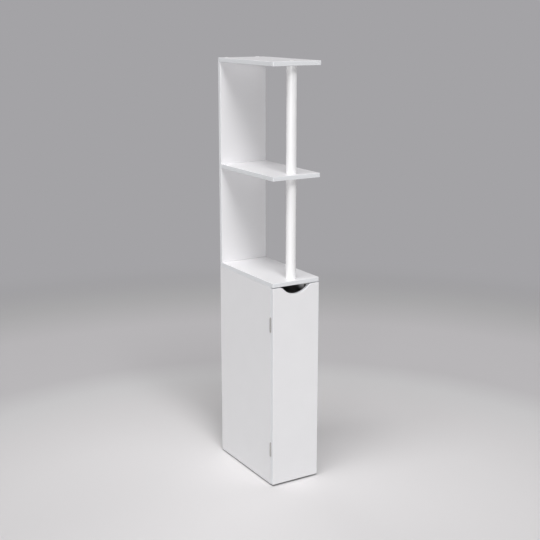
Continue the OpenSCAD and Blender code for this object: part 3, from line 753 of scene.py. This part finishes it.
def makeCovers():
    low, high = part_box("screw_covers")
    radius = cover["radius"] * mm
    places = [(low.x + radius, high.y - radius), (high.x - radius, high.y - radius), (0, low.y + radius)]
    first = rod("cover", (*places[0], low.z), (*places[0], high.z), radius, cover["sides"])
    ease(first, cover["eased"] * mm, lambda a, b: level(a, b, 2, high.z))
    rest = [twin(first, "cover", (x - places[0][0], y - places[0][1], 0)) for x, y in places[1:]]
    return joined("cover_caps", [first] + rest)


complete(makeGlides(), "cabinet", plastic, "white_plastic", "floor_glides")
complete(makeCovers(), "cabinet", film, "white_film", "screw_covers")
print("glides and covers made")


# the catch and the shelf's supports: the CAD shapes with their arrises eased

easedCopies = {  # piece: CAD node, body, material, slot, eased mm
    "catch_body": ("catch_housing", "cabinet", plastic, "white_plastic", 0.35),
    "catch_core": ("catch_magnet", "cabinet", ferrite, "ferrite", 0.15),
    "catch_poles": ("catch_pole_plates", "cabinet", zincPlate, "zinc_plated_steel", 0.12),
    "strike": ("strike_plate", "door", zincPlate, "zinc_plated_steel", 0.15),
    "supports": ("shelf_supports", "cabinet", plastic, "white_plastic", 0.25),
}
sharpFrom = 40  # degrees between two faces from which their edge is eased


def selectSharpEdges(piece):  # leaves the piece in edit mode
    pick(piece, "VERT", lambda vertex: False)
    bpy.ops.mesh.select_mode(type="EDGE")
    bpy.ops.mesh.edges_select_sharp(sharpness=math.radians(sharpFrom))


for name, (node, body, material, slotName, radius) in easedCopies.items():
    piece = mergedCopy(node, name)
    selectSharpEdges(piece)
    bpy.ops.mesh.bevel(offset=radius * mm, segments=3, profile=0.5, affect="EDGES", clamp_overlap=True)
    done()
    complete(piece, body, material, slotName, node)
print("catch and supports made")


# CAD nodes that stay as they are and only get their finish

finishes = {
    "cabinet_back": thinBoard,
    "hinge_cabinet_screws": zincPlate,
    "hinge_door_screws": zincPlate,
    "catch_screws": zincPlate,
    "strike_screws": zincPlate,
    "glide_nails": zincPlate,
    "cam_locks": zincCasting,
    "cam_bolts": zincPlate,
    "side_dowels": beechWood,
    "panel_dowels": beechWood,
    "top_board_screws": zincPlate,
    "panel_base_screws": zincPlate,
    "middle_shelf_screws": zincPlate,
    "post_stud": zincPlate,
    "post_base_screw": zincPlate,
}
for node, material in finishes.items():
    for holder in nodes[node].material_slots:
        holder.material = material
print("kept CAD nodes finished")


# floor, light and camera

stage = {
    "floorRadius": 14,
    "floorSides": 96,
    "floorDrop": 0.0002,  # keeps the floor clear of the glides' undersides
    "floorRoughness": 0.85,
    "floorGloss": 0.2,
    "middle": (-0.2, -0.35),  # the middle of the pool of light painted into the floor's colour, its lightest place
    "reach": 3.0,  # metres that the painted light's stops below run over
    # painted light: the floor's colour runs from pale at the middle to grey further out, a pool of light and
    # its falloff painted in
    "stops": ((0.05, "#DDDBDC"), (0.24, "#D4D2D3"), (0.32, "#CDCBCC"), (0.39, "#C6C5C6"), (0.45, "#B8B6B8"),
              (0.62, "#B6B4B6"), (0.75, "#A8A7A8"), (0.9, "#9B9A9C")),
    "bounce": "#A8A8A8",  # the paper's colour for the light that it throws back
    "fadeStart": 2.2,  # metres from the middle, between which the floor turns into the backdrop
    "fadeEnd": 3.0,
    "backdrop": "#A4A3A6",
    "ambient": (0.012, 0.012, 0.0125, 1),  # linear, the faint light from all round
}
lamps = {  # direction, strength where 1 shows a colour as written, breadth in degrees, whether gloss mirrors it
    "overhead_softbox": ((-0.18, -0.57, 0.80), 0.63, 26, True),
    "top_left_softbox": ((-0.45, -0.15, 0.88), 0.41, 30, True),
    "front_left_softbox": ((-0.71, -0.70, 0.05), 0.33, 10, True),
    "right_fill": ((0.99, 0.02, 0.08), 0.34, 40, False),
    "rear_fill": ((0.03, 0.99, 0.10), 0.44, 40, False),
}
lampDistance = 4  # metres, which only places the lamp in the viewport
shot = {  # places in metres, lens and sensor in millimetres, shift as a share of the picture
    "from": (-1.4746, -2.4570, 1.3139),
    "to": (0.00608, 0, 0.61066),
    "lens": 68.63,
    "sensor": 36,
    "shift": -0.01,
}


def seenDirectly(owner):  # camera, glossy and transmission rays see the backdrop's own colour
    ray = addNode(owner, "LightPath")
    first = addNode(owner, "Math", {"operation": "MAXIMUM"},
                    {0: ray.outputs["Is Camera Ray"], 1: ray.outputs["Is Glossy Ray"]})
    return addNode(owner, "Math", {"operation": "MAXIMUM"},
                   {0: first.outputs[0], 1: ray.outputs["Is Transmission Ray"]}).outputs[0]


def makeFloor():
    bpy.ops.object.select_all(action="DESELECT")
    bpy.ops.mesh.primitive_circle_add(
        vertices=stage["floorSides"],
        radius=stage["floorRadius"],
        fill_type="NGON",
        location=(0, 0, -stage["floorDrop"]),
    )
    floor = named("studio_floor")
    m = newMaterial("pale_studio_floor")
    at = addNode(m, "TexCoord").outputs["Object"]
    offset = addNode(m, "VectorMath", {"operation": "SUBTRACT", 1: (*stage["middle"], 0)}, {0: at})
    away = addNode(m, "VectorMath", {"operation": "LENGTH"}, {0: offset.outputs[0]}).outputs["Value"]
    fade = addNode(m, "MapRange", {"interpolation_type": "SMOOTHSTEP", "From Min": stage["fadeStart"],
                                   "From Max": stage["fadeEnd"]}, {"Value": away}).outputs[0]
    reach = addNode(m, "MapRange", {"From Max": stage["reach"]}, {"Value": away})
    # the ramp paints the pool of light on the floor; camera, glossy and transmission rays see it, other rays
    # see the bounce colour
    colour = addNode(m, "ValToRGB", {}, {"Fac": reach.outputs[0]})
    stops = colour.color_ramp.elements
    for i, (place, hexCode) in enumerate(stage["stops"]):
        stop = stops[i] if i < 2 else stops.new(place)  # a new ramp already holds two of them
        stop.position, stop.color = place, linear(hexCode)
    seen = seenDirectly(m)
    paintedLightWhenSeen = addNode(m, "Mix", {"data_type": "RGBA", 6: linear(stage["bounce"])},
                    {0: seen, 7: colour.outputs[0]})
    paper = addNode(m, "BsdfPrincipled", {
        "Roughness": stage["floorRoughness"],
        "Specular IOR Level": stage["floorGloss"],
    }, {"Base Color": paintedLightWhenSeen.outputs[2]})
    glow = addNode(m, "Emission", {"Color": linear(stage["backdrop"])})
    share = addNode(m, "Math", {"operation": "MULTIPLY"}, {0: fade, 1: seen})
    surface = addNode(m, "MixShader", {}, {0: share.outputs[0], 1: paper.outputs[0], 2: glow.outputs[0]})
    output(m, surface.outputs[0])
    floor.data.materials.append(m)


def makeWorld():
    world = bpy.data.worlds.new("studio_air")
    world.use_nodes = True
    world.node_tree.nodes.clear()
    air = addNode(world, "Background", {"Color": stage["ambient"]})
    backdrop = addNode(world, "Background", {"Color": linear(stage["backdrop"])})
    seen = addNode(world, "MixShader", {}, {0: seenDirectly(world), 1: air.outputs[0], 2: backdrop.outputs[0]})
    addNode(world, "OutputWorld", {}, {"Surface": seen.outputs[0]})
    bpy.context.scene.world = world


def makeLamps():
    for name, (direction, strength, breadth, mirrored) in lamps.items():
        bpy.ops.object.light_add(type="SUN", location=Vector(direction) * lampDistance)
        lamp = bpy.context.object
        lamp.name = name
        lamp.rotation_euler = Vector(direction).to_track_quat("Z", "Y").to_euler()
        lamp.data.energy = strength * math.pi
        lamp.data.angle = math.radians(breadth)
        lamp.visible_glossy = mirrored


def makeCamera():
    bpy.ops.object.camera_add(location=shot["from"])
    camera = bpy.context.object
    camera.name = "photo_view"
    aim = Vector(shot["to"]) - Vector(shot["from"])
    camera.rotation_euler = aim.to_track_quat("-Z", "Y").to_euler()
    camera.data.lens = shot["lens"]
    camera.data.sensor_width = shot["sensor"]
    camera.data.shift_y = shot["shift"]
    bpy.context.scene.camera = camera


makeFloor()
makeWorld()
makeLamps()
makeCamera()
bpy.context.scene.view_settings.view_transform = "Standard"
print("stage set")
